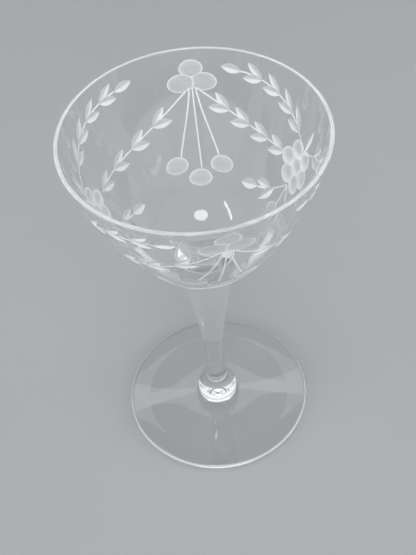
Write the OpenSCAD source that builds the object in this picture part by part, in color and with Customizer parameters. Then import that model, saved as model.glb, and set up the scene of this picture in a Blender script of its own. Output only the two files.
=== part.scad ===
// Coupe glass: a wheel-cut bowl on a drawn stem with a ball knop and a round foot.
// Four gathers of clear glass, fused face to face. Millimetres, +Z up, standing on z = 0.

/* [Foot] */
// Diameter of the foot
foot_d = 64.8; // [50:0.2:90]
// Thickness of the foot at its rounded edge
foot_edge_t = 2; // [1.4:0.1:3]
// Height of the foot's top where the knop is fused on
foot_top_h = 3.3; // [2.8:0.1:6]
// How far the foot's top dips below a straight slope
foot_dip = 0.25; // [0:0.05:0.5]
// Depth of the hollow under the foot
foot_hollow_h = 0.8; // [0.3:0.1:1.2]
// Width of the flat ring that the glass stands on
stand_ring_w = 6; // [3:0.5:12]

/* [Knop] */
// Diameter of the ball
knop_d = 13.8; // [10:0.2:20]
// Height of the ball's centre above the foot's top
knop_lift = 3; // [1.5:0.1:4.5]
// Radius of the fillet where the ball runs out on the foot
knop_fillet_r = 1.2; // [0.6:0.1:1.4]

/* [Stem] */
// Diameter of the thin part of the stem
stem_d = 6.8; // [5:0.1:9]
// Radius of the fillet where the stem meets the knop
stem_fillet_r = 0.8; // [0.4:0.1:1.5]
// Length from the knop to the lowest point of the bowl's round floor
stem_l = 62; // [45:0.5:110]
// Length over which the stem widens towards the bowl
trumpet_l = 37; // [25:0.5:45]
// Diameter of the widened stem, level with the lowest point of the bowl
trumpet_d = 18.6; // [14:0.2:24]
// Radius of the bend from the thin stem into the widening
trumpet_bend_r = 125; // [60:5:200]
// Radius of the fillet under the bowl
bowl_fillet_r = 2.4; // [1:0.1:4]

/* [Bowl] */
// Diameter across the rim
rim_d = 77; // [66:0.5:96]
// Height of the bowl from the lowest point of its round floor to the rim
bowl_h = 53.25; // [45:0.25:70]
// Outer radius of the round floor
floor_r = 25; // [20:0.5:30]
// Radius of the wall's outward curve
wall_r = 134; // [90:2:240]
// Thickness of the wall and of the lip
wall_t = 1.3; // [0.9:0.1:2]
// Thickness of the glass at the middle of the floor
floor_t = 5; // [4:0.25:8]

/* [Hidden] */
$fn = 96;
glass_colour = [0.86, 0.91, 0.9, 0.45];

// Steps in one curve of an outline
curve_steps = 16;
// Steps in the round of a lip or an edge
lip_steps = 8;

// Heights of the joints, from the table up
knop_r = knop_d / 2;
knop_z = foot_top_h + knop_lift;
stem_r = stem_d / 2;
stem_joint_r = stem_r + stem_fillet_r;
stem_joint_z = knop_z + sqrt(knop_r * knop_r - stem_joint_r * stem_joint_r);
bowl_z = stem_joint_z + stem_l;
rim_z = bowl_z + bowl_h;

// Foot: the joint with the knop, the round edge and the hollow below
knop_flare_angle = asin((knop_lift - knop_fillet_r) / (knop_r + knop_fillet_r));
knop_joint_r = (knop_r + knop_fillet_r) * cos(knop_flare_angle);
foot_edge_r = foot_edge_t / 2;
foot_flat_r = foot_d / 2 - foot_edge_r;
hollow_r = foot_flat_r - stand_ring_w;
hollow_curve_r = (hollow_r * hollow_r + foot_hollow_h * foot_hollow_h) / (2 * foot_hollow_h);
hollow_half_angle = asin(hollow_r / hollow_curve_r);

// Bowl: the wall's curve has its centre where it passes the rim and touches the round floor
lip_r = wall_t / 2;
lip = [rim_d / 2 - lip_r, rim_z - lip_r];
floor_c = [0, bowl_z + floor_r];
wall_c = circle_meet(floor_c, wall_r - floor_r, lip, wall_r - lip_r);
wall_low_angle = angle_of(floor_c - wall_c);
wall_rim_angle = angle_of(lip - wall_c);

// Inside of the bowl: the same wall centre, and a round floor that leaves the floor's thickness
inner_wall_r = wall_r - wall_t;
inner_floor_z = bowl_z + floor_t;
inner_drop = wall_c[1] - inner_floor_z;
inner_floor_r = (inner_wall_r * inner_wall_r - wall_c[0] * wall_c[0] - inner_drop * inner_drop)
    / (2 * (inner_wall_r - inner_drop));
inner_floor_c = [0, inner_floor_z + inner_floor_r];
inner_low_angle = angle_of(inner_floor_c - wall_c);

// Stem: the widening's flank, its bend and the fillet that touches flank and floor
trumpet_r = trumpet_d / 2;
flank_angle = atan((trumpet_r - stem_r) / trumpet_l);
flank_low_z = bowl_z - trumpet_l;
bend_l = trumpet_bend_r * tan(flank_angle / 2);
bend_c = [stem_r + trumpet_bend_r, flank_low_z - bend_l];
flank_out = [cos(flank_angle), -sin(flank_angle)];
flank_up = [sin(flank_angle), cos(flank_angle)];
flank_foot = [trumpet_r, bowl_z] + bowl_fillet_r * flank_out;
fillet_reach = floor_r + bowl_fillet_r;
flank_side = (flank_foot - floor_c) * flank_out;
fillet_c = floor_c + flank_side * flank_out
    - sqrt(fillet_reach * fillet_reach - flank_side * flank_side) * flank_up;
bowl_fillet_end = angle_of(floor_c - fillet_c);
bowl_joint = fillet_c + bowl_fillet_r * [cos(bowl_fillet_end), sin(bowl_fillet_end)];

// Direction of a vector, in degrees
function angle_of(v) = atan2(v[1], v[0]);

// Points of an arc about a centre
function arc(c, r, from, to, steps) =
    [for (i = [0 : steps]) let (a = from + (to - from) * i / steps) c + r * [cos(a), sin(a)]];

// The meeting point of two circles that lies nearer the axis
function circle_meet(c0, r0, c1, r1) =
    let (d = norm(c1 - c0))
    let (u = (c1 - c0) / d)
    let (along = (d * d + r0 * r0 - r1 * r1) / (2 * d))
    let (side = sqrt(r0 * r0 - along * along))
    c0 + along * u + side * [-u[1], u[0]];

// A point part of the way along the foot's top, which dips like a hanging chain
function foot_top(share) =
    [knop_joint_r + (foot_flat_r - knop_joint_r) * share,
     foot_top_h + (foot_edge_t - foot_top_h) * share - 4 * foot_dip * share * (1 - share)];

bowl_outline = concat(
    [[0, bowl_joint[1]]],
    arc(floor_c, floor_r, angle_of(bowl_joint - floor_c), wall_low_angle, curve_steps),
    arc(wall_c, wall_r, wall_low_angle, wall_rim_angle, curve_steps),
    arc(lip, lip_r, wall_rim_angle, wall_rim_angle + 180, lip_steps),
    arc(wall_c, inner_wall_r, wall_rim_angle, inner_low_angle, curve_steps),
    arc(inner_floor_c, inner_floor_r, inner_low_angle, -90, curve_steps));

stem_outline = concat(
    [[0, stem_joint_z]],
    arc([stem_joint_r, stem_joint_z + stem_fillet_r], stem_fillet_r, -90, -180, lip_steps),
    arc(bend_c, trumpet_bend_r, 180, 180 - flank_angle, curve_steps),
    arc(fillet_c, bowl_fillet_r, 180 - flank_angle, bowl_fillet_end, lip_steps),
    [[0, bowl_joint[1]]]);

knop_outline = concat(
    [[0, foot_top_h]],
    arc([knop_joint_r, foot_top_h + knop_fillet_r], knop_fillet_r, -90, -180 - knop_flare_angle, lip_steps),
    arc([0, knop_z], knop_r, -knop_flare_angle, angle_of([stem_joint_r, stem_joint_z - knop_z]), curve_steps),
    [[0, stem_joint_z]]);

foot_outline = concat(
    arc([0, foot_hollow_h - hollow_curve_r], hollow_curve_r, 90, 90 - hollow_half_angle, curve_steps),
    arc([foot_flat_r, foot_edge_r], foot_edge_r, -90, 90, lip_steps),
    [for (i = [1 : curve_steps]) foot_top(1 - i / curve_steps)],
    [[0, foot_top_h]]);

module turned(outline) {
    color(glass_colour)
        rotate_extrude()
            polygon(outline);
}

// Blown bowl, cut flat below where the stem is fused on
module bowl() {
    turned(bowl_outline);
}

// Solid drawn stem, thin below and widened under the bowl
module stem() {
    turned(stem_outline);
}

// Solid ball with a fillet that runs out on the foot
module knop() {
    turned(knop_outline);
}

// Round foot, standing on a flat ring around a shallow hollow
module foot() {
    turned(foot_outline);
}

bowl();
stem();
knop();
foot();
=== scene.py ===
"""Coupe glass: a wheel-cut bowl on a drawn stem, with a ball knop and a round foot.

Each piece of glass is a closed mesh on the frame's own sizes. Lengths are worked out in millimetres
and turned into metres as a mesh is made. The garland is cut into the bowl's outer wall.
"""

from collections import namedtuple
from math import asin, atan, atan2, ceil, cos, hypot, pi, radians, sin, sqrt, tan
from types import SimpleNamespace

import bpy
import numpy as np
from bpy.props import FloatProperty, FloatVectorProperty, PointerProperty
from mathutils import Matrix, Vector
from mathutils.geometry import delaunay_2d_cdt


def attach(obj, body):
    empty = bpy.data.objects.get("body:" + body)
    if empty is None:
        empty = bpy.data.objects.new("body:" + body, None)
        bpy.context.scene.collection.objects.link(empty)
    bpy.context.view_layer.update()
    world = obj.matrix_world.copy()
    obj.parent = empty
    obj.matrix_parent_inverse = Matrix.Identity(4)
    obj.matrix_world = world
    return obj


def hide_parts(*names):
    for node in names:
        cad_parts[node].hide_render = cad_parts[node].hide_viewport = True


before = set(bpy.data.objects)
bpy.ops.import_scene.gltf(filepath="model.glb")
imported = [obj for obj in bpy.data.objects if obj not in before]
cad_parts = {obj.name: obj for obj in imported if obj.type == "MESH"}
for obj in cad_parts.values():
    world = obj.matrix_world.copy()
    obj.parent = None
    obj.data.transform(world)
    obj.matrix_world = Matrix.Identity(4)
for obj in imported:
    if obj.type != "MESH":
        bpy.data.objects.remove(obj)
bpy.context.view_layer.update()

bl_info = {
    "name": "Coupe glass",
    "version": (1, 0, 0),
    "blender": (4, 5, 0),
    "location": "View3D > Sidebar > Coupe glass",
    "description": "Builds a wheel-cut coupe glass, piece by piece, on a pale studio floor",
    "category": "Object",
}

BODY = "root"
MM = 0.001
FULL_TURN = 360.0
GLASS_IOR = 1.52

# Places of the finishes in a piece's list of materials; the third is the whitened glass of a painted
# highlight on rounded edges
CLEAR, FUSED, HIGHLIGHT_BAND, CUT = 0, 1, 2, 3

# Shares of the lamplight that pass the thin bowl and the thick stem, knop and foot
BLOWN_LAMPLIGHT = 0.9
DRAWN_LAMPLIGHT = 0.62

# Mesh attribute for how clear a cut is at a corner, from a painted white highlight to nearly clear
HIGHLIGHT_CLEARNESS = "clearness"

# Waves in the glass and fine scores in the cuts, per metre, and how high they rise
WAVES = (60.0, 60.0, 90.0)
WAVE_RISE = 0.00001
SCORES = (150.0, 150.0, 2600.0)
SCORE_RISE = 0.00003
SCORE_RANGE = (0.36, 0.64)

# How clear a cut is where its painted white highlight ends and where its clear part begins, and the
# shares of the light that these let through
HIGHLIGHT_RANGE = (0.1, 0.45)
CUT_THROUGH = (0.2, 0.6)
CUT_ROUGHNESS = 0.55

# How clear a stalk and the edge of a disc are, low for a painted white highlight, and how much clearer
# a disc's middle is: its share, and how much that grows up the wall, painting a petal's lower part
# white
STALK_HIGHLIGHT_CLEARNESS = 0.14
DISC_EDGE_HIGHLIGHT = 0.1
BERRY_CLEAR = (1.0, 0.0)
PETAL_HIGHLIGHT_CLEAR = (0.35, 0.9)

# Painted highlight on the rounded lip and the foot's edge: what this whitened glass lets through, and
# how rough it is
HIGHLIGHT_BAND_THROUGH = 0.7
HIGHLIGHT_BAND_ROUGHNESS = 0.12

# Finish of the floor
PAPER_ROUGHNESS = 0.9
PAPER_SHINE = 0.2

# The shares of the lip's curve and of the foot's edge that carry the painted highlight
LIP_HIGHLIGHT = (0.12, 0.86)
FOOT_HIGHLIGHT = (0.54, 0.86)

# Mesh fineness
BOWL_SEGMENTS = 360
STEM_SEGMENTS = 180
FOOT_SEGMENTS = 360
CURVE_STEPS = 40
LIP_STEPS = 24
WALL_STRIDE = 2
WALL_ROW = 1.6
WALL_CLEARANCE = 0.5
DISC_STEPS = 44
LEAF_STEPS = 14
STALK_STEPS = 26
# Rings of points inside a disc: the share of its size, and how many points
DISC_RINGS = ((0.78, 30), (0.52, 20), (0.26, 10))

# Where the facing of a cut is taken: how far inside a triangle, and over how many millimetres
CORNER_INSET = 0.15
FACING_STEP = 0.01

# Where a stalk's heading is taken: over which share of its length, and at which share at the latest
HEADING_STEP = 0.01
LAST_HEADING = 0.985

# Where the unrolled wall is cut open, where only two stalks cross, in degrees of turn
WALL_SEAM = 250.0
# Millimetres of the unrolled wall for a degree of turn
UNROLLED_DEGREE = 0.5

# How near places count as one: on the axis, on the wall, on its border and along its seam
ON_AXIS = 1e-6
SAME_PLACE = 1e-5
ON_BORDER = 1e-4
SEAM_SLACK = 0.02


# Settings

def length(name, description, millimetres):
    return FloatProperty(name=name, description=description, default=millimetres * MM,
                         min=0.0, unit="LENGTH", precision=5)


def angle(name, description, value):
    return FloatProperty(name=name, description=description, default=radians(value), unit="ROTATION")


def number(name, description, value):
    return FloatProperty(name=name, description=description, default=value, min=0.0)


def colour(name, description, value):
    return FloatVectorProperty(name=name, description=description, default=value,
                               size=3, min=0.0, max=1.0, subtype="COLOR")


class GlassSizes(bpy.types.PropertyGroup):
    """Sizes of the four gathers of glass"""

    foot_d: length("Foot diameter", "Diameter of the foot", 64.8)
    foot_edge_t: length("Foot edge", "Thickness of the foot at its rounded edge", 2.0)
    foot_top_h: length("Foot top", "Height of the foot's top where the knop is fused on", 3.3)
    foot_dip: length("Foot dip", "How far the foot's top dips below a straight slope", 0.25)
    foot_hollow_h: length("Foot hollow", "Depth of the hollow under the foot", 0.8)
    stand_ring_w: length("Standing ring", "Width of the flat ring that the glass stands on", 6.0)
    knop_d: length("Knop diameter", "Diameter of the ball", 13.8)
    knop_lift: length("Knop lift", "Height of the ball's centre above the foot's top", 3.0)
    knop_fillet_r: length("Knop fillet", "Radius where the ball runs out on the foot", 1.2)
    stem_d: length("Stem diameter", "Diameter of the thin part of the stem", 6.8)
    stem_fillet_r: length("Stem fillet", "Radius where the stem meets the knop", 0.8)
    stem_l: length("Stem length", "Length from the knop to the bowl's lowest point", 62.0)
    trumpet_l: length("Widening", "Length over which the stem widens towards the bowl", 37.0)
    trumpet_d: length("Widened stem", "Diameter of the stem level with the bowl's lowest point", 18.6)
    trumpet_bend_r: length("Bend", "Radius of the bend into the widening", 125.0)
    bowl_fillet_r: length("Bowl fillet", "Radius of the fillet under the bowl", 2.4)
    rim_d: length("Rim diameter", "Diameter across the rim", 77.0)
    bowl_h: length("Bowl height", "Height of the bowl from its lowest point to the rim", 53.25)
    floor_r: length("Floor radius", "Outer radius of the bowl's round floor", 25.0)
    wall_r: length("Wall radius", "Radius of the wall's outward curve", 134.0)
    wall_t: length("Wall", "Thickness of the wall and of the lip", 1.3)
    floor_t: length("Floor", "Thickness of the glass at the middle of the bowl's floor", 5.0)


class GarlandSizes(bpy.types.PropertyGroup):
    """Sizes of the wheel cuts on the bowl"""

    berry_w: length("Berry width", "Width of a berry and of a trefoil's disc", 7.5)
    berry_h: length("Berry height", "Height of a berry and of a trefoil's disc", 5.6)
    low_disc_w: length("Low disc width", "Width of the two lower discs of a trefoil", 8.5)
    low_disc_h: length("Low disc height", "Height of the two lower discs of a trefoil", 5.9)
    petal_w: length("Petal width", "Width of a rosette's disc", 6.5)
    petal_h: length("Petal height", "Height of a rosette's disc", 5.8)
    disc_depth: length("Disc depth", "Depth of a disc's dish", 0.2)
    leaf_depth: length("Leaf depth", "Depth of a leaf along its rib", 0.24)
    stalk_w: length("Stalk width", "Width of a stalk's cut", 0.52)
    stalk_depth: length("Stalk depth", "Depth of a stalk's cut", 0.12)


class GlassColours(bpy.types.PropertyGroup):
    """Colours of the glass"""

    clear: colour("Clear glass", "Tint of the polished glass", (0.982, 0.99, 0.986))
    # Painted highlight: the white of the cuts' edges, of petals' lower parts and leaves' lower flanks,
    # and of the lip's and foot's rounded edges
    edge: colour("Cut edge", "Colour of the bright edges of the cuts", (0.97, 0.98, 0.98))
    cut: colour("Cut glass", "Colour of the ground, unpolished cuts", (0.8, 0.82, 0.82))
    scored: colour("Scored glass", "Colour of the fine lines in the cuts", (0.73, 0.75, 0.75))


class StageSettings(bpy.types.PropertyGroup):
    """Floor, light and camera"""

    floor_colour: colour("Floor", "Colour of the studio floor", (0.36, 0.365, 0.37))
    sky_colour: colour("Surround", "Colour of the studio's soft surround", (0.95, 0.97, 1.0))
    sky_strength: number("Surround light", "Strength of the light from the soft surround", 0.36)
    sky_seen: number("Surround brightness", "Brightness of the surround where it is seen", 0.95)
    window_power: number("Window power", "Power of the small window before the glass, in watts", 2.2)
    strip_power: number("Strip power", "Power of the long lamp behind the glass, in watts", 0.45)
    side_power: number("Side power", "Power of each tall lamp beside the glass, in watts", 1.0)
    key_strength: number("Key strength", "Strength of the broad, even light from above", 0.9)
    key_spread: angle("Key spread", "Spread of the broad light from above", 40.0)
    fill_power: number("Fill power", "Power of the low lamp before the glass, in watts", 4.0)
    side_fill_power: number("Side fill power", "Power of each low lamp beside the glass, in watts", 3.8)
    camera_lift: angle("Camera lift", "Angle of the camera above the level", 49.337)
    camera_roll: angle("Camera roll", "Turn of the camera about its own axis", 5.509)
    camera_distance: length("Camera distance", "Distance from the camera to the glass", 314.25)
    camera_lens: number("Lens", "Focal length of the camera in millimetres", 63.59)


class CoupeSettings(bpy.types.PropertyGroup):
    """All settings of the coupe glass"""

    sizes: PointerProperty(type=GlassSizes)
    garland: PointerProperty(type=GarlandSizes)
    colours: PointerProperty(type=GlassColours)
    stage: PointerProperty(type=StageSettings)


def in_millimetres(group):
    """The lengths of a property group, in millimetres"""
    return SimpleNamespace(**{key: getattr(group, key) / MM for key in group.__annotations__})


# Outlines, as (radius, height) in millimetres

def angle_of(start, end):
    return atan2(end[1] - start[1], end[0] - start[0])


def on_circle(centre, radius, turn):
    return (centre[0] + radius * cos(turn), centre[1] + radius * sin(turn))


def circle_meet(c0, r0, c1, r1):
    """The meeting point of two circles that lies nearer the axis"""
    span = hypot(c1[0] - c0[0], c1[1] - c0[1])
    ux, uz = (c1[0] - c0[0]) / span, (c1[1] - c0[1]) / span
    along = (span * span + r0 * r0 - r1 * r1) / (2 * span)
    side = sqrt(r0 * r0 - along * along)
    return (c0[0] + along * ux - side * uz, c0[1] + along * uz + side * ux)


def glass_shape(sizes):
    """Works out the joints and curve centres of the glass from its sizes"""
    s = in_millimetres(sizes)
    knop_r = s.knop_d / 2
    s.knop_c = (0.0, s.foot_top_h + s.knop_lift)
    s.stem_r = s.stem_d / 2
    s.stem_joint_r = s.stem_r + s.stem_fillet_r
    s.stem_joint_z = s.knop_c[1] + sqrt(knop_r ** 2 - s.stem_joint_r ** 2)
    s.bowl_z = s.stem_joint_z + s.stem_l
    s.rim_z = s.bowl_z + s.bowl_h

    s.knop_flare = asin((s.knop_lift - s.knop_fillet_r) / (knop_r + s.knop_fillet_r))
    s.knop_joint_r = (knop_r + s.knop_fillet_r) * cos(s.knop_flare)
    s.foot_edge_r = s.foot_edge_t / 2
    s.foot_flat_r = s.foot_d / 2 - s.foot_edge_r
    s.hollow_r = s.foot_flat_r - s.stand_ring_w
    s.hollow_curve_r = (s.hollow_r ** 2 + s.foot_hollow_h ** 2) / (2 * s.foot_hollow_h)
    s.hollow_half_angle = asin(s.hollow_r / s.hollow_curve_r)

    s.lip_r = s.wall_t / 2
    s.lip = (s.rim_d / 2 - s.lip_r, s.rim_z - s.lip_r)
    s.floor_c = (0.0, s.bowl_z + s.floor_r)
    s.wall_c = circle_meet(s.floor_c, s.wall_r - s.floor_r, s.lip, s.wall_r - s.lip_r)
    s.wall_low_angle = angle_of(s.wall_c, s.floor_c)
    s.wall_rim_angle = angle_of(s.wall_c, s.lip)
    s.inner_wall_r = s.wall_r - s.wall_t
    inner_z = s.bowl_z + s.floor_t
    drop = s.wall_c[1] - inner_z
    s.inner_floor_r = ((s.inner_wall_r ** 2 - s.wall_c[0] ** 2 - drop ** 2)
                       / (2 * (s.inner_wall_r - drop)))
    s.inner_floor_c = (0.0, inner_z + s.inner_floor_r)
    s.inner_low_angle = angle_of(s.wall_c, s.inner_floor_c)

    trumpet_r = s.trumpet_d / 2
    s.flank = atan((trumpet_r - s.stem_r) / s.trumpet_l)
    bend_l = s.trumpet_bend_r * tan(s.flank / 2)
    s.bend_c = (s.stem_r + s.trumpet_bend_r, s.bowl_z - s.trumpet_l - bend_l)
    out = (cos(s.flank), -sin(s.flank))
    up = (sin(s.flank), cos(s.flank))
    flank_x = trumpet_r + s.bowl_fillet_r * out[0] - s.floor_c[0]
    flank_z = s.bowl_z + s.bowl_fillet_r * out[1] - s.floor_c[1]
    reach = s.floor_r + s.bowl_fillet_r
    side = flank_x * out[0] + flank_z * out[1]
    back = sqrt(reach ** 2 - side ** 2)
    s.fillet_c = (s.floor_c[0] + side * out[0] - back * up[0],
                  s.floor_c[1] + side * out[1] - back * up[1])
    s.bowl_fillet_end = angle_of(s.fillet_c, s.floor_c)
    s.bowl_joint = on_circle(s.fillet_c, s.bowl_fillet_r, s.bowl_fillet_end)
    s.joint_angle = angle_of(s.floor_c, s.bowl_joint)
    s.wall_run = (s.wall_rim_angle - s.wall_low_angle) * s.wall_r
    s.wall_end = s.wall_run + (s.wall_low_angle - s.joint_angle) * s.floor_r
    return s


def arc_run(centre, radius, start, end, steps, slot=CLEAR):
    """One curve of an outline, with the glass on its left"""
    side = 1 if end > start else -1
    turns = [start + (end - start) * i / steps for i in range(steps + 1)]
    points = [on_circle(centre, radius, t) for t in turns]
    return points, [(side * cos(t), side * sin(t)) for t in turns], slot


def edge_runs(centre, radius, start, end, bright):
    """A rounded edge with a painted highlight, a band of whitened glass, between two shares of its
    curve
    """
    turns = [start, *(start + (end - start) * share for share in bright), end]
    steps = LIP_STEPS // 3
    return [arc_run(centre, radius, a, b, steps, slot)
            for a, b, slot in zip(turns, turns[1:], (CLEAR, HIGHLIGHT_BAND, CLEAR))]


def line_run(start, end, slot=CLEAR):
    """One straight stretch of an outline, with the glass on its left"""
    span = hypot(end[0] - start[0], end[1] - start[1])
    facing = ((end[1] - start[1]) / span, (start[0] - end[0]) / span)
    return [start, end], [facing, facing], slot


def free_run(points, slot=CLEAR):
    """A stretch of an outline through points that lie on a smooth curve"""
    tangents = np.gradient(np.array(points), axis=0)
    spans = np.hypot(tangents[:, 0], tangents[:, 1])
    return points, [(t[1] / n, -t[0] / n) for t, n in zip(tangents, spans)], slot


# Meshes

class GlassMesh:
    """Corners, faces, finish and facing of one piece, gathered in millimetres"""

    def __init__(self):
        self.corners = []
        self.faces = []
        self.slots = []
        self.facings = []
        self.clearness = []

    def corner(self, point):
        self.corners.append(point)
        return len(self.corners) - 1

    def face(self, indices, facings, slot, clearness=None):
        """Adds a face with the facing of each corner, and how clear a cut is there, which sets its
        painted highlight
        """
        self.faces.append(indices)
        self.facings.extend(facings)
        self.slots.append(slot)
        self.clearness.extend(clearness or [0.0] * len(indices))

    def ring(self, point, turns):
        """One corner on the axis, or a ring of them about it"""
        radius, height = point
        if radius < ON_AXIS:
            return [self.corner((0.0, 0.0, height))] * len(turns)
        return [self.corner((radius * cos(t), radius * sin(t), height)) for t in turns]

    def turn(self, runs, turns, first=None):
        """Turns the runs of an outline about the axis, from a ring that may exist already"""
        ring = first
        for points, facings, slot in runs:
            for i, point in enumerate(points):
                if i == 0 and ring is not None:
                    continue
                new = self.ring(point, turns)
                if i > 0:
                    self.band(ring, new, facings[i - 1], facings[i], turns, slot)
                ring = new
        return ring

    def band(self, low, high, low_facing, high_facing, turns, slot):
        count = len(turns)
        for k in range(count):
            m = (k + 1) % count
            loop = [(low[k], low_facing, k), (low[m], low_facing, m),
                    (high[m], high_facing, m), (high[k], high_facing, k)]
            if low[k] == low[m]:
                del loop[1]
            elif high[k] == high[m]:
                del loop[2]
            self.face([c[0] for c in loop],
                      [(f[0] * cos(turns[j]), f[0] * sin(turns[j]), f[1]) for _, f, j in loop], slot)

    def piece(self, name, surfaces):
        mesh = bpy.data.meshes.new(name)
        mesh.from_pydata([Vector(c) * MM for c in self.corners], [], self.faces)
        if len(mesh.polygons) != len(self.faces):
            raise RuntimeError(f"{name} lost faces")
        for surface in surfaces:
            mesh.materials.append(finish(surface))
        mesh.polygons.foreach_set("material_index", self.slots)
        mesh.polygons.foreach_set("use_smooth", [True] * len(self.faces))
        mesh.attributes.new(HIGHLIGHT_CLEARNESS, "FLOAT", "CORNER").data.foreach_set("value", self.clearness)
        mesh.normals_split_custom_set(self.facings)
        mesh.update()
        piece = bpy.data.objects.new(name, mesh)
        bpy.context.scene.collection.objects.link(piece)
        return piece


def ring_turns(count, start=0.0):
    return [radians(start) + 2 * pi * k / count for k in range(count)]


def settle(piece, node):
    """Puts a piece on the frame in the place of its CAD node"""
    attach(piece, BODY)
    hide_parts(node)


# Finishes

def finish(surface):
    """The material of a surface, which is made when it is first asked for"""
    name = surface.__name__.replace("_", " ")
    if name in bpy.data.materials:
        return bpy.data.materials[name]
    material = bpy.data.materials.new(name)
    material.use_nodes = True
    nodes, links = material.node_tree.nodes, material.node_tree.links
    nodes.clear()
    output = nodes.new("ShaderNodeOutputMaterial")
    links.new(surface(nodes, links), output.inputs["Surface"])
    return material


def glass_shader(nodes, tint, transmission, roughness):
    glass = nodes.new("ShaderNodeBsdfPrincipled")
    glass.inputs["Base Color"].default_value = (*tint, 1.0)
    glass.inputs["Transmission Weight"].default_value = transmission
    glass.inputs["Roughness"].default_value = roughness
    glass.inputs["IOR"].default_value = GLASS_IOR
    return glass


def ripple(nodes, links, scale, rise, into):
    """Fine unevenness of a surface, with a scale of waves per metre along x, y and z"""
    place = nodes.new("ShaderNodeTexCoord")
    stretch = nodes.new("ShaderNodeVectorMath")
    stretch.operation = "MULTIPLY"
    stretch.inputs[1].default_value = scale
    noise = nodes.new("ShaderNodeTexNoise")
    noise.inputs["Scale"].default_value = 1.0
    bump = nodes.new("ShaderNodeBump")
    bump.inputs["Strength"].default_value = 1.0
    bump.inputs["Distance"].default_value = rise
    links.new(place.outputs["Object"], stretch.inputs[0])
    links.new(stretch.outputs["Vector"], noise.inputs["Vector"])
    links.new(noise.outputs["Fac"], bump.inputs["Height"])
    links.new(bump.outputs["Normal"], into.inputs["Normal"])
    return noise.outputs["Fac"]


def ramp(nodes, links, value, span, ends):
    """A number that runs from one end to the other as a value crosses a span"""
    share = nodes.new("ShaderNodeMapRange")
    share.inputs["From Min"].default_value, share.inputs["From Max"].default_value = span
    share.inputs["To Min"].default_value, share.inputs["To Max"].default_value = ends
    links.new(value, share.inputs["Value"])
    return share.outputs["Result"]


def blend(nodes, links, value, span, low, high):
    """A colour that changes from low to high as a value crosses a span"""
    mix = nodes.new("ShaderNodeMix")
    mix.data_type = "RGBA"
    mix.inputs["A"].default_value = (*low, 1.0)
    mix.inputs["B"].default_value = (*high, 1.0)
    links.new(ramp(nodes, links, value, span, (0.0, 1.0)), mix.inputs["Factor"])
    return mix


def clear_glass(nodes, links, lamplight):
    """Polished glass that lets a share of the lamplight straight through"""
    glass = glass_shader(nodes, bpy.context.scene.coupe.colours.clear, 1.0, 0.0)
    ripple(nodes, links, WAVES, WAVE_RISE, glass)
    through = nodes.new("ShaderNodeBsdfTransparent")
    through.inputs["Color"].default_value = (lamplight, lamplight, lamplight, 1.0)
    rays = nodes.new("ShaderNodeLightPath")
    mix = nodes.new("ShaderNodeMixShader")
    links.new(rays.outputs["Is Shadow Ray"], mix.inputs[0])
    links.new(glass.outputs["BSDF"], mix.inputs[1])
    links.new(through.outputs["BSDF"], mix.inputs[2])
    return mix.outputs["Shader"]


def blown_glass(nodes, links):
    """The polished glass of the bowl"""
    return clear_glass(nodes, links, BLOWN_LAMPLIGHT)


def drawn_glass(nodes, links):
    """The polished glass of the stem, the knop and the foot"""
    return clear_glass(nodes, links, DRAWN_LAMPLIGHT)


def fused_glass(nodes, links):
    """The faces where two gathers are one glass, which light passes as if they weren't there"""
    return nodes.new("ShaderNodeBsdfTransparent").outputs["BSDF"]


def edge_glass(nodes, links):
    """Painted highlight on the rounded edges of the lip and the foot: partly white, slightly rough
    glass that reads as a bright line
    """
    glass = glass_shader(nodes, bpy.context.scene.coupe.colours.edge, HIGHLIGHT_BAND_THROUGH, HIGHLIGHT_BAND_ROUGHNESS)
    ripple(nodes, links, WAVES, WAVE_RISE, glass)
    return glass.outputs["BSDF"]


def cut_glass(nodes, links):
    """Ground glass, finely scored by the wheel, with a painted highlight: whiter, and letting less
    light through, where a cut is less clear
    """
    colours = bpy.context.scene.coupe.colours
    glass = glass_shader(nodes, colours.edge, CUT_THROUGH[0], CUT_ROUGHNESS)
    scores = ripple(nodes, links, SCORES, SCORE_RISE, glass)
    ground = blend(nodes, links, scores, SCORE_RANGE, colours.scored, colours.cut)
    # Painted highlight: where the mesh's clearness is low, the cut is mixed to white and lets less
    # light through
    attribute = nodes.new("ShaderNodeAttribute")
    attribute.attribute_name = HIGHLIGHT_CLEARNESS
    clearness = attribute.outputs["Fac"]
    painted_highlight_mix = blend(nodes, links, clearness, HIGHLIGHT_RANGE, colours.edge, colours.cut)
    through = ramp(nodes, links, clearness, HIGHLIGHT_RANGE, CUT_THROUGH)
    links.new(through, glass.inputs["Transmission Weight"])
    links.new(ground.outputs["Result"], painted_highlight_mix.inputs["B"])
    links.new(painted_highlight_mix.outputs["Result"], glass.inputs["Base Color"])
    return glass.outputs["BSDF"]


def floor_paper(nodes, links):
    """The dull paper of the floor"""
    paper = nodes.new("ShaderNodeBsdfPrincipled")
    paper.inputs["Base Color"].default_value = (*bpy.context.scene.coupe.stage.floor_colour, 1.0)
    paper.inputs["Roughness"].default_value = PAPER_ROUGHNESS
    paper.inputs["Specular IOR Level"].default_value = PAPER_SHINE
    return paper.outputs["BSDF"]


# Wheel cuts, as outlines on the unrolled wall: turn in degrees, drop below the lip in millimetres

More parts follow.
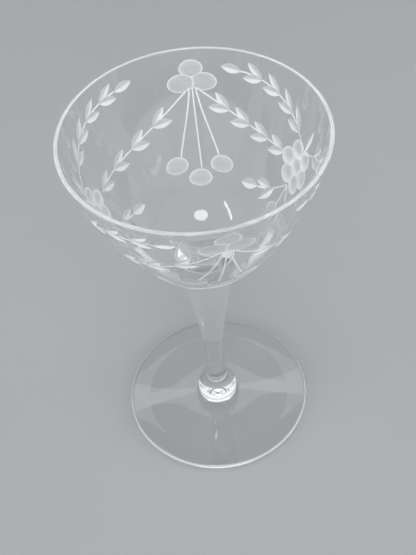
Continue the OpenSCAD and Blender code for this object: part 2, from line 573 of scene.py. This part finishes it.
class Wall:
    """The outside of the bowl by turn and drop"""

    def __init__(self, shape):
        self.shape = shape

    def curve(self, drop):
        """Centre and radius of the wall's curve, and the angle of its facing above the level"""
        s = self.shape
        if drop < s.wall_run:
            return s.wall_c, s.wall_r, s.wall_rim_angle - drop / s.wall_r
        return s.floor_c, s.floor_r, s.wall_low_angle - (drop - s.wall_run) / s.floor_r

    def tilt(self, drop):
        return self.curve(drop)[2]

    def place(self, drop):
        """Radius and height of the wall"""
        return on_circle(*self.curve(drop))

    def point(self, turn, drop, depth):
        """A point that lies a depth below the wall"""
        radius, height = self.place(drop)
        tilt = self.tilt(drop)
        radius -= depth * cos(tilt)
        height -= depth * sin(tilt)
        t = radians(turn)
        return (radius * cos(t), radius * sin(t), height)

    def facing(self, turn, drop, level_slope=0.0, up_slope=0.0):
        """The facing of the wall, or of a cut that deepens level and up the wall by these slopes"""
        t, tilt = radians(turn), self.tilt(drop)
        out = Vector((cos(tilt) * cos(t), cos(tilt) * sin(t), sin(tilt)))
        level = Vector((-sin(t), cos(t), 0.0))
        up = Vector((-sin(tilt) * cos(t), -sin(tilt) * sin(t), cos(tilt)))
        return (out + level * level_slope + up * up_slope).normalized()

    def degree(self, drop):
        """Millimetres along the level for a degree of turn"""
        return self.place(drop)[0] * pi / 180

    def moved(self, place, level, up):
        """A place moved along the level and up the wall, in millimetres"""
        drop = place[1] - up
        return (place[0] + level / self.degree(drop), drop)

    def offset(self, place, turn, drop):
        """How far a place is from another, along the level and up the wall"""
        return ((turn - place[0]) * self.degree(drop), place[1] - drop)


class Cut:
    """One stroke of the wheel: outline, ribs and inner points, and depth and clearness by place; the
    clearness sets its painted highlight
    """

    def __init__(self, outline, ribs, inner, depth, clear):
        self.outline = outline
        self.ribs = ribs
        self.inner = inner
        self.depth = depth
        self.clear = clear

    def box(self):
        """Least and greatest turn and drop"""
        turns, drops = zip(*self.outline)
        return min(turns), max(turns), min(drops), max(drops)

    def turned(self, turn):
        """The same stroke a full turn on or back"""
        def moved(places):
            return [(t + turn, d) for t, d in places]
        return Cut(moved(self.outline), [moved(r) for r in self.ribs], moved(self.inner),
                   lambda t, d: self.depth(t - turn, d), lambda t, d: self.clear(t - turn, d))


def disc_cut(wall, place, width, height, deep, clear_shares=BERRY_CLEAR):
    """A dished oval with a painted highlight: white at its edge and, where the share grows up the wall,
    on its lower part
    """
    def spot(share, steps, i):
        a = 2 * pi * i / steps
        return wall.moved(place, share * width / 2 * cos(a), share * height / 2 * sin(a))

    def depth(turn, drop):
        level, up = wall.offset(place, turn, drop)
        return deep * (1 - (2 * level / width) ** 2 - (2 * up / height) ** 2)

    # Painted highlight: least clear, so whitest, at the edge, and low on the oval where the share grows
    # up the wall
    def clear(turn, drop):
        up = wall.offset(place, turn, drop)[1]
        share = max(0.0, clear_shares[0] + clear_shares[1] * up / height)
        return DISC_EDGE_HIGHLIGHT + share * depth(turn, drop) / deep

    outline = [spot(1, DISC_STEPS, i) for i in range(DISC_STEPS)]
    inner = [place]
    for share, steps in DISC_RINGS:
        inner += [spot(share, steps, i + 0.5) for i in range(steps)]
    return Cut(outline, [], inner, depth, clear)


def leaf_cut(wall, root, lean, l, width, deep):
    """A pointed leaf with a sharp rib, a painted white highlight below it, from its root in a direction
    above the level
    """
    along, across = (cos(lean), sin(lean)), (-sin(lean), cos(lean))
    over = 1 if across[1] > 0 else -1

    def spot(share, side):
        a, c = share * l, side * width / 2 * (1 - (2 * share - 1) ** 2)
        return wall.moved(root, a * along[0] + c * across[0], a * along[1] + c * across[1])

    def depth(turn, drop):
        level, up = wall.offset(root, turn, drop)
        a = (level * along[0] + up * along[1]) / l
        c = abs(level * across[0] + up * across[1]) / width
        return deep * (1 - (2 * a - 1) ** 2 - 2 * c)

    # Painted highlight: the flank below the rib is white, as if lit from above, and the flank above it
    # clear
    def clear(turn, drop):
        level, up = wall.offset(root, turn, drop)
        return 1.0 if over * (level * across[0] + up * across[1]) > 0 else 0.0

    shares = [(1 - cos(pi * i / LEAF_STEPS)) / 2 for i in range(LEAF_STEPS + 1)]
    outline = [spot(x, -1) for x in shares] + [spot(x, 1) for x in shares[-2:0:-1]]
    return Cut(outline, [[spot(x, 0) for x in shares]], [], depth, clear)


def stalk_cut(wall, sizes, path):
    """A fine line along a path, pointed at both ends"""
    width, deep = sizes.stalk_w, sizes.stalk_depth
    count = len(path)
    left, right = [], []
    for i in range(1, count - 1):
        level, up = wall.offset(path[i - 1], *path[i + 1])
        span = hypot(level, up)
        side = (-up / span * width / 2, level / span * width / 2)
        left.append(wall.moved(path[i], *side))
        right.append(wall.moved(path[i], -side[0], -side[1]))

    spans = np.array([wall.offset(p, *q) for p, q in zip(path, path[1:])])
    squares = np.sum(spans ** 2, axis=1)
    starts = np.array(path[:-1])

    def depth(turn, drop):
        away = np.stack(((turn - starts[:, 0]) * wall.degree(drop), starts[:, 1] - drop), axis=1)
        share = np.clip(np.sum(away * spans, axis=1) / squares, 0.0, 1.0)
        gap = away - share[:, None] * spans
        return deep * (1 - 2 * sqrt(np.min(np.sum(gap ** 2, axis=1))) / width)

    outline = [path[0]] + right + [path[-1]] + left[::-1]
    # A stalk is nearly white all along: an even painted highlight
    return Cut(outline, [path], [], depth, lambda turn, drop: STALK_HIGHLIGHT_CLEARNESS)


def bent_path(start, end, bend):
    """A path that leaves its start steeply and levels out: its place at a share, and its places"""
    def place(share):
        return (start[0] + (end[0] - start[0]) * share,
                start[1] + (end[1] - start[1]) * (1 - (1 - share) ** bend))
    return place, [place(i / STALK_STEPS) for i in range(STALK_STEPS + 1)]


def hung_path(start, end, bend):
    """A path that leaves its start straight down and swings aside"""
    return [(start[0] + (end[0] - start[0]) * (i / STALK_STEPS) ** bend,
             start[1] + (end[1] - start[1]) * i / STALK_STEPS) for i in range(STALK_STEPS + 1)]


def heading(wall, place, share):
    """Direction of a path at a share of its length, above the level"""
    level, up = wall.offset(place(share - HEADING_STEP), *place(share + HEADING_STEP))
    return atan2(up, level)


# Garland: turns in degrees, drops below the lip and lengths in millimetres
Trefoil = namedtuple("Trefoil", "turn lift spray_ends")
Rosette = namedtuple("Rosette", "turn drop crown_drop crown_turns crown_bend crown_shares "
                                "sprig_drop sprig_tip")
TREFOILS = (
    Trefoil(turn=88.3, lift=0.0, spray_ends=((27.5, 24.6), (167.0, 26.6))),
    Trefoil(turn=279.5, lift=1.8, spray_ends=((204.0, 25.0), (357.5, 24.6))),
)
ROSETTES = (
    Rosette(turn=12.5, drop=24.0, crown_drop=19.3, crown_turns=(-38.8, 63.8), crown_bend=1.75,
            crown_shares=(0.182, 0.36, 0.565, 0.78), sprig_drop=31.0, sprig_tip=(25.8, 39.5)),
    Rosette(turn=186.6, drop=25.0, crown_drop=18.8, crown_turns=(128.0, 249.0), crown_bend=1.95,
            crown_shares=(0.254, 0.435, 0.631, 0.833), sprig_drop=31.4, sprig_tip=(29.0, 41.0)),
)

# Discs of a trefoil, its hanging berries and where their stalks begin and end
TOP_DISC = (0.1, 6.1)
LOW_DISCS = ((-5.7, 10.4), (5.7, 10.6))
TREFOIL_ROOT = 12.3
BERRIES = ((-17.5, 36.6), (-1.0, 41.3), (15.8, 36.5))
BERRY_ROOTS = (-1.8, 0.0, 1.8)
BERRY_TOPS = ((-14.8, 33.8), (-2.3, 38.6), (11.8, 34.1))
HANG_BEND = 1.5

# Petals of a rosette about its middle, in pitches along the level and rows up the wall, and the
# berry below it
PETALS = ((-1, 0), (1, 0), (-0.5, -1), (0.5, -1), (-0.5, 1), (0.5, 1))
PETAL_PITCH = 5.6
PETAL_ROW = 4.4
LOW_BERRY_DROP = 41.5
LOW_BERRY_W = 6.4

# Sprays from a trefoil to a rosette, and the tips of the sprays above a rosette
SPRAY_ROOT_TURN = 1.8
SPRAY_BENDS = (2.3, 3.2)
SPRIG_BEND = 1.7
CROWN_TIP = 6.2

# Leaves of a stalk: share of its length, lean from the stalk in degrees, length and width
SPRAY_LEAVES = tuple((share, lean, l, w) for share in (0.303, 0.524, 0.755, 0.985)
                     for lean, l, w in ((21, 7.3, 2.7), (-22, 6.8, 3.0)))
CROWN_PAIRS = (((21, 8.5, 2.2), (-25, 6.8, 2.9)),
               ((22, 8.0, 2.3), (-22, 6.7, 2.9)),
               ((23, 7.4, 2.4), (-21, 6.6, 2.9)),
               ((25, 7.0, 2.5), (-22, 6.6, 2.9)))
CROWN_END_LEAF = (1.0, 6, 6.6, 3.1)
SPRIG_LEAVES = ((0.5, 30, 6.6, 2.9), (0.4, -20, 7.8, 3.1), (1.0, -8, 6.2, 3.6))
UPRIGHT_LEAF = (9.6, 2.2)
UPRIGHT_LEAN = 7.0


def spray(wall, sizes, start, end, bend, leaves, back=False):
    """A stalk with leaves that lean on to its end, or back to its start"""
    place, path = bent_path(start, end, bend)
    cuts = [stalk_cut(wall, sizes, path)]
    side = 1 if (end[0] > start[0]) != back else -1
    for share, lean, l, width in leaves:
        way = heading(wall, place, min(share, LAST_HEADING)) + (pi if back else 0.0)
        way += side * radians(lean)
        cuts.append(leaf_cut(wall, place(share), way, l, width, sizes.leaf_depth))
    return cuts


def trefoil(wall, sizes, motif):
    """Three discs, three hanging berries and a spray to the rosette on either side"""
    oval = (sizes.berry_w, sizes.berry_h, sizes.disc_depth)

    def at(turn, drop):
        return (motif.turn + turn, drop - motif.lift)

    cuts = [disc_cut(wall, at(*disc), *oval) for disc in (TOP_DISC, *BERRIES)]
    for disc in LOW_DISCS:
        cuts.append(disc_cut(wall, at(*disc), sizes.low_disc_w, sizes.low_disc_h, sizes.disc_depth))
    for root, top in zip(BERRY_ROOTS, BERRY_TOPS):
        path = hung_path(at(root, TREFOIL_ROOT), at(*top), HANG_BEND)
        cuts.append(stalk_cut(wall, sizes, path))
    for side, bend, end in zip((-1, 1), SPRAY_BENDS, motif.spray_ends):
        root = at(side * SPRAY_ROOT_TURN, TREFOIL_ROOT)
        cuts += spray(wall, sizes, root, end, bend, SPRAY_LEAVES, back=True)
    return cuts


def rosette(wall, sizes, motif):
    """A ring of discs about one disc, sprays above it, and sprigs and a berry below it"""
    middle = (motif.turn, motif.drop)
    oval = (sizes.petal_w, sizes.petal_h, sizes.disc_depth, PETAL_HIGHLIGHT_CLEAR)
    cuts = [disc_cut(wall, middle, *oval)]
    for level, row in PETALS:
        petal = wall.moved(middle, level * PETAL_PITCH, row * PETAL_ROW)
        cuts.append(disc_cut(wall, petal, *oval))
    crown = (motif.turn, motif.crown_drop)
    upright = pi / 2 + radians(UPRIGHT_LEAN)
    cuts.append(leaf_cut(wall, crown, upright, *UPRIGHT_LEAF, sizes.leaf_depth))
    leaves = [(share, *leaf) for share, pair in zip(motif.crown_shares, CROWN_PAIRS) for leaf in pair]
    leaves.append(CROWN_END_LEAF)
    for turn in motif.crown_turns:
        cuts += spray(wall, sizes, crown, (turn, CROWN_TIP), motif.crown_bend, leaves)
    sprig = (motif.turn, motif.sprig_drop)
    for side in (-1, 1):
        tip = (motif.turn + side * motif.sprig_tip[0], motif.sprig_tip[1])
        cuts += spray(wall, sizes, sprig, tip, SPRIG_BEND, SPRIG_LEAVES)
    berry = (motif.turn, LOW_BERRY_DROP)
    cuts.append(disc_cut(wall, berry, LOW_BERRY_W, sizes.berry_h, sizes.disc_depth))
    path = hung_path(sprig, wall.moved(berry, 0, sizes.berry_h / 2), 1)
    cuts.append(stalk_cut(wall, sizes, path))
    return cuts


def garland(wall, sizes):
    """All strokes of the wheel around the bowl"""
    cuts = []
    for motif in TREFOILS:
        cuts += trefoil(wall, sizes, motif)
    for motif in ROSETTES:
        cuts += rosette(wall, sizes, motif)
    return cuts


def strokes_between(cuts, low, high):
    """The strokes that reach between two turns, with those a full turn away"""
    found = []
    for cut in cuts:
        for turn in (-FULL_TURN, 0.0, FULL_TURN):
            near = [t + turn for t, _ in cut.outline]
            if max(near) > low and min(near) < high:
                found.append(cut.turned(turn) if turn else cut)
    return found


def unrolled_wall(wall, cuts, low, high):
    """Triangles of the unrolled wall, with every outline and rib as an edge, and the strokes in each"""
    places, edges = [], []

    def add_path(path, closed=False):
        first, count = len(places), len(path)
        places.extend(path)
        edges.extend((first + i, first + i + 1) for i in range(count - 1))
        if closed:
            edges.append((first + count - 1, first))

    rows = ceil(wall.shape.wall_end / WALL_ROW)
    drops = [wall.shape.wall_end * i / rows for i in range(rows + 1)]
    turns = [low + (high - low) * k / BOWL_SEGMENTS for k in range(BOWL_SEGMENTS + 1)]
    border = ([(t, 0.0) for t in turns] + [(high, d) for d in drops[1:]]
              + [(t, drops[-1]) for t in turns[-2::-1]] + [(low, d) for d in drops[-2:0:-1]])
    add_path(border, closed=True)
    for cut in cuts:
        add_path(cut.outline, closed=True)
        for rib in cut.ribs:
            add_path(rib)
        places.extend(cut.inner)

    scale = np.array((UNROLLED_DEGREE, 1.0))
    taken = np.array(places[len(border):]) * scale
    for drop in drops[1:-1]:
        for turn in turns[WALL_STRIDE:-WALL_STRIDE:WALL_STRIDE]:
            spot = np.array((turn, drop)) * scale
            if np.min(np.sum((taken - spot) ** 2, axis=1)) > WALL_CLEARANCE ** 2:
                places.append((turn, drop))
    flat = [Vector((t * UNROLLED_DEGREE, d)) for t, d in places]
    corners, _, faces, _, _, _ = delaunay_2d_cdt(flat, edges, [], 0, SAME_PLACE, False)
    spots = [(c.x / UNROLLED_DEGREE, c.y) for c in corners]
    boxes = [cut.box() for cut in cuts]
    triangles = []
    for face in faces:
        turn = sum(spots[c][0] for c in face) / 3
        drop = sum(spots[c][1] for c in face) / 3
        if low < turn < high:
            near = [cut for cut, b in zip(cuts, boxes) if b[0] < turn < b[1] and b[2] < drop < b[3]]
            triangles.append((face, [cut for cut in near if cut.depth(turn, drop) > 0]))
    return spots, triangles


def deepest(strokes, turn, drop):
    return max([0.0] + [c.depth(turn, drop) for c in strokes])


def clearness_at(strokes, turn, drop):
    """How clear the last stroke is at a place, which sets its painted highlight"""
    return max(0.0, strokes[-1].clear(turn, drop))


def just_inside(spot, middle):
    """A place beside a corner of a triangle, a little way towards its middle"""
    return tuple(a + CORNER_INSET * (b - a) for a, b in zip(spot, middle))


def cut_facing(wall, strokes, spot, inside):
    """The facing of a cut at a corner of a triangle, taken just inside the triangle"""
    turn, drop = inside
    step = FACING_STEP
    dturn = step / wall.degree(drop)
    level = (deepest(strokes, turn + dturn, drop) - deepest(strokes, turn - dturn, drop)) / (2 * step)
    up = (deepest(strokes, turn, drop - step) - deepest(strokes, turn, drop + step)) / (2 * step)
    return wall.facing(spot[0], spot[1], level, up)


def cut_wall(mesh, wall, sizes, lip_ring, joint_ring):
    """Adds the bowl's outer wall with the garland between its lip and the joint with the stem"""
    low, high = WALL_SEAM, WALL_SEAM + FULL_TURN
    cuts = strokes_between(garland(wall, sizes), low, high)
    spots, triangles = unrolled_wall(wall, cuts, low, high)
    around = {}
    for corners, strokes in triangles:
        for c in corners:
            around.setdefault(c, set()).update(strokes)

    index, seam = {}, []
    for c in sorted(around, key=lambda c: spots[c][0]):
        turn, drop = spots[c]
        at_seam = turn > high - ON_BORDER
        ring_at = round((turn - low) / FULL_TURN * BOWL_SEGMENTS) % BOWL_SEGMENTS
        if drop < ON_BORDER:
            index[c] = lip_ring[ring_at]
        elif drop > wall.shape.wall_end - ON_BORDER:
            index[c] = joint_ring[ring_at]
        elif at_seam:
            nearest = min(seam, key=lambda pair: abs(pair[0] - drop))
            if abs(nearest[0] - drop) > SEAM_SLACK:
                raise RuntimeError(f"the wall's seam is open at {drop:.3f}")
            index[c] = nearest[1]
        else:
            index[c] = mesh.corner(wall.point(turn, drop, deepest(around[c], turn, drop)))
            if turn < low + ON_BORDER:
                seam.append((drop, index[c]))

    for corners, strokes in triangles:
        ids = [index[c] for c in corners][::-1]
        if len(set(ids)) < 3:
            continue
        tri = [spots[c] for c in corners][::-1]
        if strokes:
            middle = (sum(t for t, _ in tri) / 3, sum(d for _, d in tri) / 3)
            inside = [just_inside(spot, middle) for spot in tri]
            facings = [cut_facing(wall, strokes, *pair) for pair in zip(tri, inside)]
            mesh.face(ids, facings, CUT, [clearness_at(strokes, *place) for place in inside])
        else:
            mesh.face(ids, [wall.facing(*spot) for spot in tri], CLEAR)


# Pieces

class COUPE_OT_bowl(bpy.types.Operator):
    """Blows the bowl and cuts the garland into its wall"""

    bl_idname = "coupe.bowl"
    bl_label = "Bowl"

    def execute(self, context):
        settings = context.scene.coupe
        s = glass_shape(settings.sizes)
        mesh = GlassMesh()
        turns = ring_turns(BOWL_SEGMENTS, WALL_SEAM)
        joint_ring = mesh.turn([line_run((0.0, s.bowl_joint[1]), s.bowl_joint, FUSED)], turns)
        lip_ring = mesh.ring(on_circle(s.wall_c, s.wall_r, s.wall_rim_angle), turns)
        mesh.turn([
            *edge_runs(s.lip, s.lip_r, s.wall_rim_angle, s.wall_rim_angle + pi, LIP_HIGHLIGHT),
            arc_run(s.wall_c, s.inner_wall_r, s.wall_rim_angle, s.inner_low_angle, CURVE_STEPS),
            arc_run(s.inner_floor_c, s.inner_floor_r, s.inner_low_angle, -pi / 2, CURVE_STEPS),
        ], turns, first=lip_ring)
        cut_wall(mesh, Wall(s), in_millimetres(settings.garland), lip_ring, joint_ring)
        surfaces = (blown_glass, fused_glass, edge_glass, cut_glass)
        settle(mesh.piece("glass_bowl", surfaces), "bowl")
        return {"FINISHED"}


def drawn_piece(name, node, runs, segments, *edges):
    """Turns a piece of drawn glass and puts it in its place"""
    mesh = GlassMesh()
    mesh.turn(runs, ring_turns(segments))
    settle(mesh.piece(name, (drawn_glass, fused_glass, *edges)), node)


class COUPE_OT_stem(bpy.types.Operator):
    """Draws the stem, thin above the knop and widening up to the bowl"""

    bl_idname = "coupe.stem"
    bl_label = "Stem"

    def execute(self, context):
        s = glass_shape(context.scene.coupe.sizes)
        low = (s.stem_joint_r, s.stem_joint_z)
        fillet = arc_run((s.stem_joint_r, s.stem_joint_z + s.stem_fillet_r), s.stem_fillet_r,
                         -pi / 2, -pi, LIP_STEPS)
        bend = arc_run(s.bend_c, s.trumpet_bend_r, pi, pi - s.flank, CURVE_STEPS)
        top = arc_run(s.fillet_c, s.bowl_fillet_r, pi - s.flank, s.bowl_fillet_end, LIP_STEPS)
        drawn_piece("glass_stem", "stem", [
            line_run((0.0, s.stem_joint_z), low, FUSED),
            fillet,
            line_run(fillet[0][-1], bend[0][0]),
            bend,
            line_run(bend[0][-1], top[0][0]),
            top,
            line_run(s.bowl_joint, (0.0, s.bowl_joint[1]), FUSED),
        ], STEM_SEGMENTS)
        return {"FINISHED"}


class COUPE_OT_knop(bpy.types.Operator):
    """Shapes the ball knop, which runs out on the foot"""

    bl_idname = "coupe.knop"
    bl_label = "Knop"

    def execute(self, context):
        s = glass_shape(context.scene.coupe.sizes)
        low = (s.knop_joint_r, s.foot_top_h)
        high = (s.stem_joint_r, s.stem_joint_z)
        drawn_piece("glass_knop", "knop", [
            line_run((0.0, s.foot_top_h), low, FUSED),
            arc_run((s.knop_joint_r, s.foot_top_h + s.knop_fillet_r), s.knop_fillet_r,
                    -pi / 2, -pi - s.knop_flare, LIP_STEPS),
            arc_run(s.knop_c, s.knop_d / 2, -s.knop_flare, angle_of(s.knop_c, high), CURVE_STEPS),
            line_run(high, (0.0, s.stem_joint_z), FUSED),
        ], STEM_SEGMENTS)
        return {"FINISHED"}


class COUPE_OT_foot(bpy.types.Operator):
    """Spins out the foot, with a rounded edge and a hollow below"""

    bl_idname = "coupe.foot"
    bl_label = "Foot"

    def execute(self, context):
        s = glass_shape(context.scene.coupe.sizes)
        hollow = arc_run((0.0, s.foot_hollow_h - s.hollow_curve_r), s.hollow_curve_r,
                         pi / 2, pi / 2 - s.hollow_half_angle, CURVE_STEPS)
        shares = [1 - i / CURVE_STEPS for i in range(CURVE_STEPS + 1)]
        top = [(s.knop_joint_r + (s.foot_flat_r - s.knop_joint_r) * x,
                s.foot_top_h + (s.foot_edge_t - s.foot_top_h) * x - 4 * s.foot_dip * x * (1 - x))
               for x in shares]
        drawn_piece("glass_foot", "foot", [
            hollow,
            line_run((s.hollow_r, 0.0), (s.foot_flat_r, 0.0)),
            *edge_runs((s.foot_flat_r, s.foot_edge_r), s.foot_edge_r, -pi / 2, pi / 2, FOOT_HIGHLIGHT),
            free_run(top),
            line_run((s.knop_joint_r, s.foot_top_h), (0.0, s.foot_top_h), FUSED),
        ], FOOT_SEGMENTS, edge_glass)
        return {"FINISHED"}


# Stage, in metres

FLOOR_SIZE = 60.0
# Air between the floor and the glass that stands on it
FLOOR_GAP = 0.00005
# Turns of light inside the glass before it is lost
LIGHT_BOUNCES = 32
# What the camera and the lamps are turned to
LOOK_AT = (0.00025, 0.0, 0.0655)
LAMP_TARGET = (0.0, 0.0, 0.06)
# Width of the camera's sensor in millimetres
SENSOR_WIDTH = 36.0

# Lamps: place, size, setting of the power, and whether they show in the glass's shine and through it
SUN = "SUN"
Lamp = namedtuple("Lamp", "name place width height power shape shine through",
                  defaults=("RECTANGLE", False, False))
LAMPS = (
    Lamp("strip", (0.0, 0.57, 0.84), 2.4, 0.05, "strip_power", shine=True, through=True),
    Lamp("window", (0.0, -0.16, 1.22), 0.33, 0.29, "window_power", "ELLIPSE", shine=True),
    Lamp("left_lamp", (-0.6, -0.08, 1.0), 0.5, 0.06, "side_power", shine=True),
    Lamp("right_lamp", (0.6, 0.2, 1.0), 0.2, 0.4, "side_power"),
    Lamp("key", (0.0, -0.62, 1.0), 0.0, 0.0, "key_strength", SUN),
    Lamp("fill", (0.0, -1.05, 0.36), 0.6, 0.3, "fill_power"),
    Lamp("left_fill", (-1.05, -0.2, 0.36), 0.6, 0.3, "side_fill_power"),
    Lamp("right_fill", (1.05, -0.2, 0.36), 0.6, 0.3, "side_fill_power"),
)


def hang_lamp(lamp, stage):
    """Hangs a lamp that shines on the glass and isn't seen itself"""
    data = bpy.data.lights.new(lamp.name, SUN if lamp.shape == SUN else "AREA")
    data.energy = getattr(stage, lamp.power)
    if lamp.shape == SUN:
        data.angle = stage.key_spread
    else:
        data.shape = lamp.shape
        data.size = lamp.width
        data.size_y = lamp.height
    hung = bpy.data.objects.new(lamp.name, data)
    hung.location = lamp.place
    way = Vector(LAMP_TARGET) - Vector(lamp.place)
    hung.rotation_euler = way.to_track_quat("-Z", "Y").to_euler()
    hung.visible_camera = False
    hung.visible_transmission = lamp.through
    hung.visible_glossy = lamp.shine
    bpy.context.scene.collection.objects.link(hung)


def lay_floor(scene):
    """Lays a plain floor just below the foot"""
    half = FLOOR_SIZE / 2
    corners = [(x * half, y * half, -FLOOR_GAP) for x, y in ((-1, -1), (1, -1), (1, 1), (-1, 1))]
    mesh = bpy.data.meshes.new("studio_floor")
    mesh.from_pydata(corners, [], [(0, 1, 2, 3)])
    mesh.materials.append(finish(floor_paper))
    ground = bpy.data.objects.new("studio_floor", mesh)
    scene.collection.objects.link(ground)


def set_surround(scene, stage):
    """Sets a plain surround, brighter where it is seen than in the light that it gives"""
    world = bpy.data.worlds.new("studio surround")
    world.use_nodes = True
    nodes, links = world.node_tree.nodes, world.node_tree.links
    background = nodes["Background"]
    background.inputs["Color"].default_value = (*stage.sky_colour, 1.0)
    rays = nodes.new("ShaderNodeLightPath")
    seen = rays.outputs["Is Camera Ray"]
    for kind in ("Is Glossy Ray", "Is Transmission Ray"):
        either = nodes.new("ShaderNodeMath")
        either.operation = "MAXIMUM"
        links.new(seen, either.inputs[0])
        links.new(rays.outputs[kind], either.inputs[1])
        seen = either.outputs["Value"]
    level = ramp(nodes, links, seen, (0.0, 1.0), (stage.sky_strength, stage.sky_seen))
    links.new(level, background.inputs["Strength"])
    scene.world = world


def place_camera(scene, stage):
    """Places the camera before and above the glass, a little rolled"""
    data = bpy.data.cameras.new("camera")
    data.lens = stage.camera_lens
    data.sensor_width = SENSOR_WIDTH
    camera = bpy.data.objects.new("camera", data)
    lift, roll = stage.camera_lift, stage.camera_roll
    back = Vector((0.0, -cos(lift), sin(lift)))
    over = Vector((0.0, sin(lift), cos(lift)))
    right = Vector((1.0, 0.0, 0.0)) * cos(roll) - over * sin(roll)
    up = Vector((1.0, 0.0, 0.0)) * sin(roll) + over * cos(roll)
    turn = Matrix((right, up, back)).transposed().to_4x4()
    camera.matrix_world = Matrix.Translation(Vector(LOOK_AT) + back * stage.camera_distance) @ turn
    scene.collection.objects.link(camera)
    scene.camera = camera


class COUPE_OT_stage(bpy.types.Operator):
    """Lays the floor and sets up the soft light and the camera"""

    bl_idname = "coupe.stage"
    bl_label = "Stage"

    def execute(self, context):
        scene = context.scene
        stage = scene.coupe.stage
        lay_floor(scene)
        set_surround(scene, stage)
        for lamp in LAMPS:
            hang_lamp(lamp, stage)
        place_camera(scene, stage)
        scene.view_settings.view_transform = "Standard"
        scene.cycles.max_bounces = LIGHT_BOUNCES
        scene.cycles.glossy_bounces = LIGHT_BOUNCES
        scene.cycles.transmission_bounces = LIGHT_BOUNCES
        return {"FINISHED"}


class COUPE_PT_panel(bpy.types.Panel):
    """Lists the pieces of the glass and their sizes"""

    bl_idname = "COUPE_PT_panel"
    bl_label = "Coupe glass"
    bl_space_type = "VIEW_3D"
    bl_region_type = "UI"
    bl_category = "Coupe glass"

    def draw(self, context):
        settings = context.scene.coupe
        for operator in OPERATORS:
            self.layout.operator(operator.bl_idname)
        for group in (settings.sizes, settings.garland, settings.colours, settings.stage):
            column = self.layout.column(align=True)
            for key in group.__annotations__:
                column.prop(group, key)


GROUPS = (GlassSizes, GarlandSizes, GlassColours, StageSettings, CoupeSettings)
OPERATORS = (COUPE_OT_bowl, COUPE_OT_stem, COUPE_OT_knop, COUPE_OT_foot, COUPE_OT_stage)
CLASSES = (*GROUPS, *OPERATORS, COUPE_PT_panel)


def register():
    for cls in CLASSES:
        bpy.utils.register_class(cls)
    bpy.types.Scene.coupe = PointerProperty(type=CoupeSettings)


def unregister():
    del bpy.types.Scene.coupe
    for cls in reversed(CLASSES):
        bpy.utils.unregister_class(cls)


def main():
    register()
    bpy.ops.coupe.bowl()
    bpy.ops.coupe.stem()
    bpy.ops.coupe.knop()
    bpy.ops.coupe.foot()
    bpy.ops.coupe.stage()


if __name__ == "__main__":
    main()
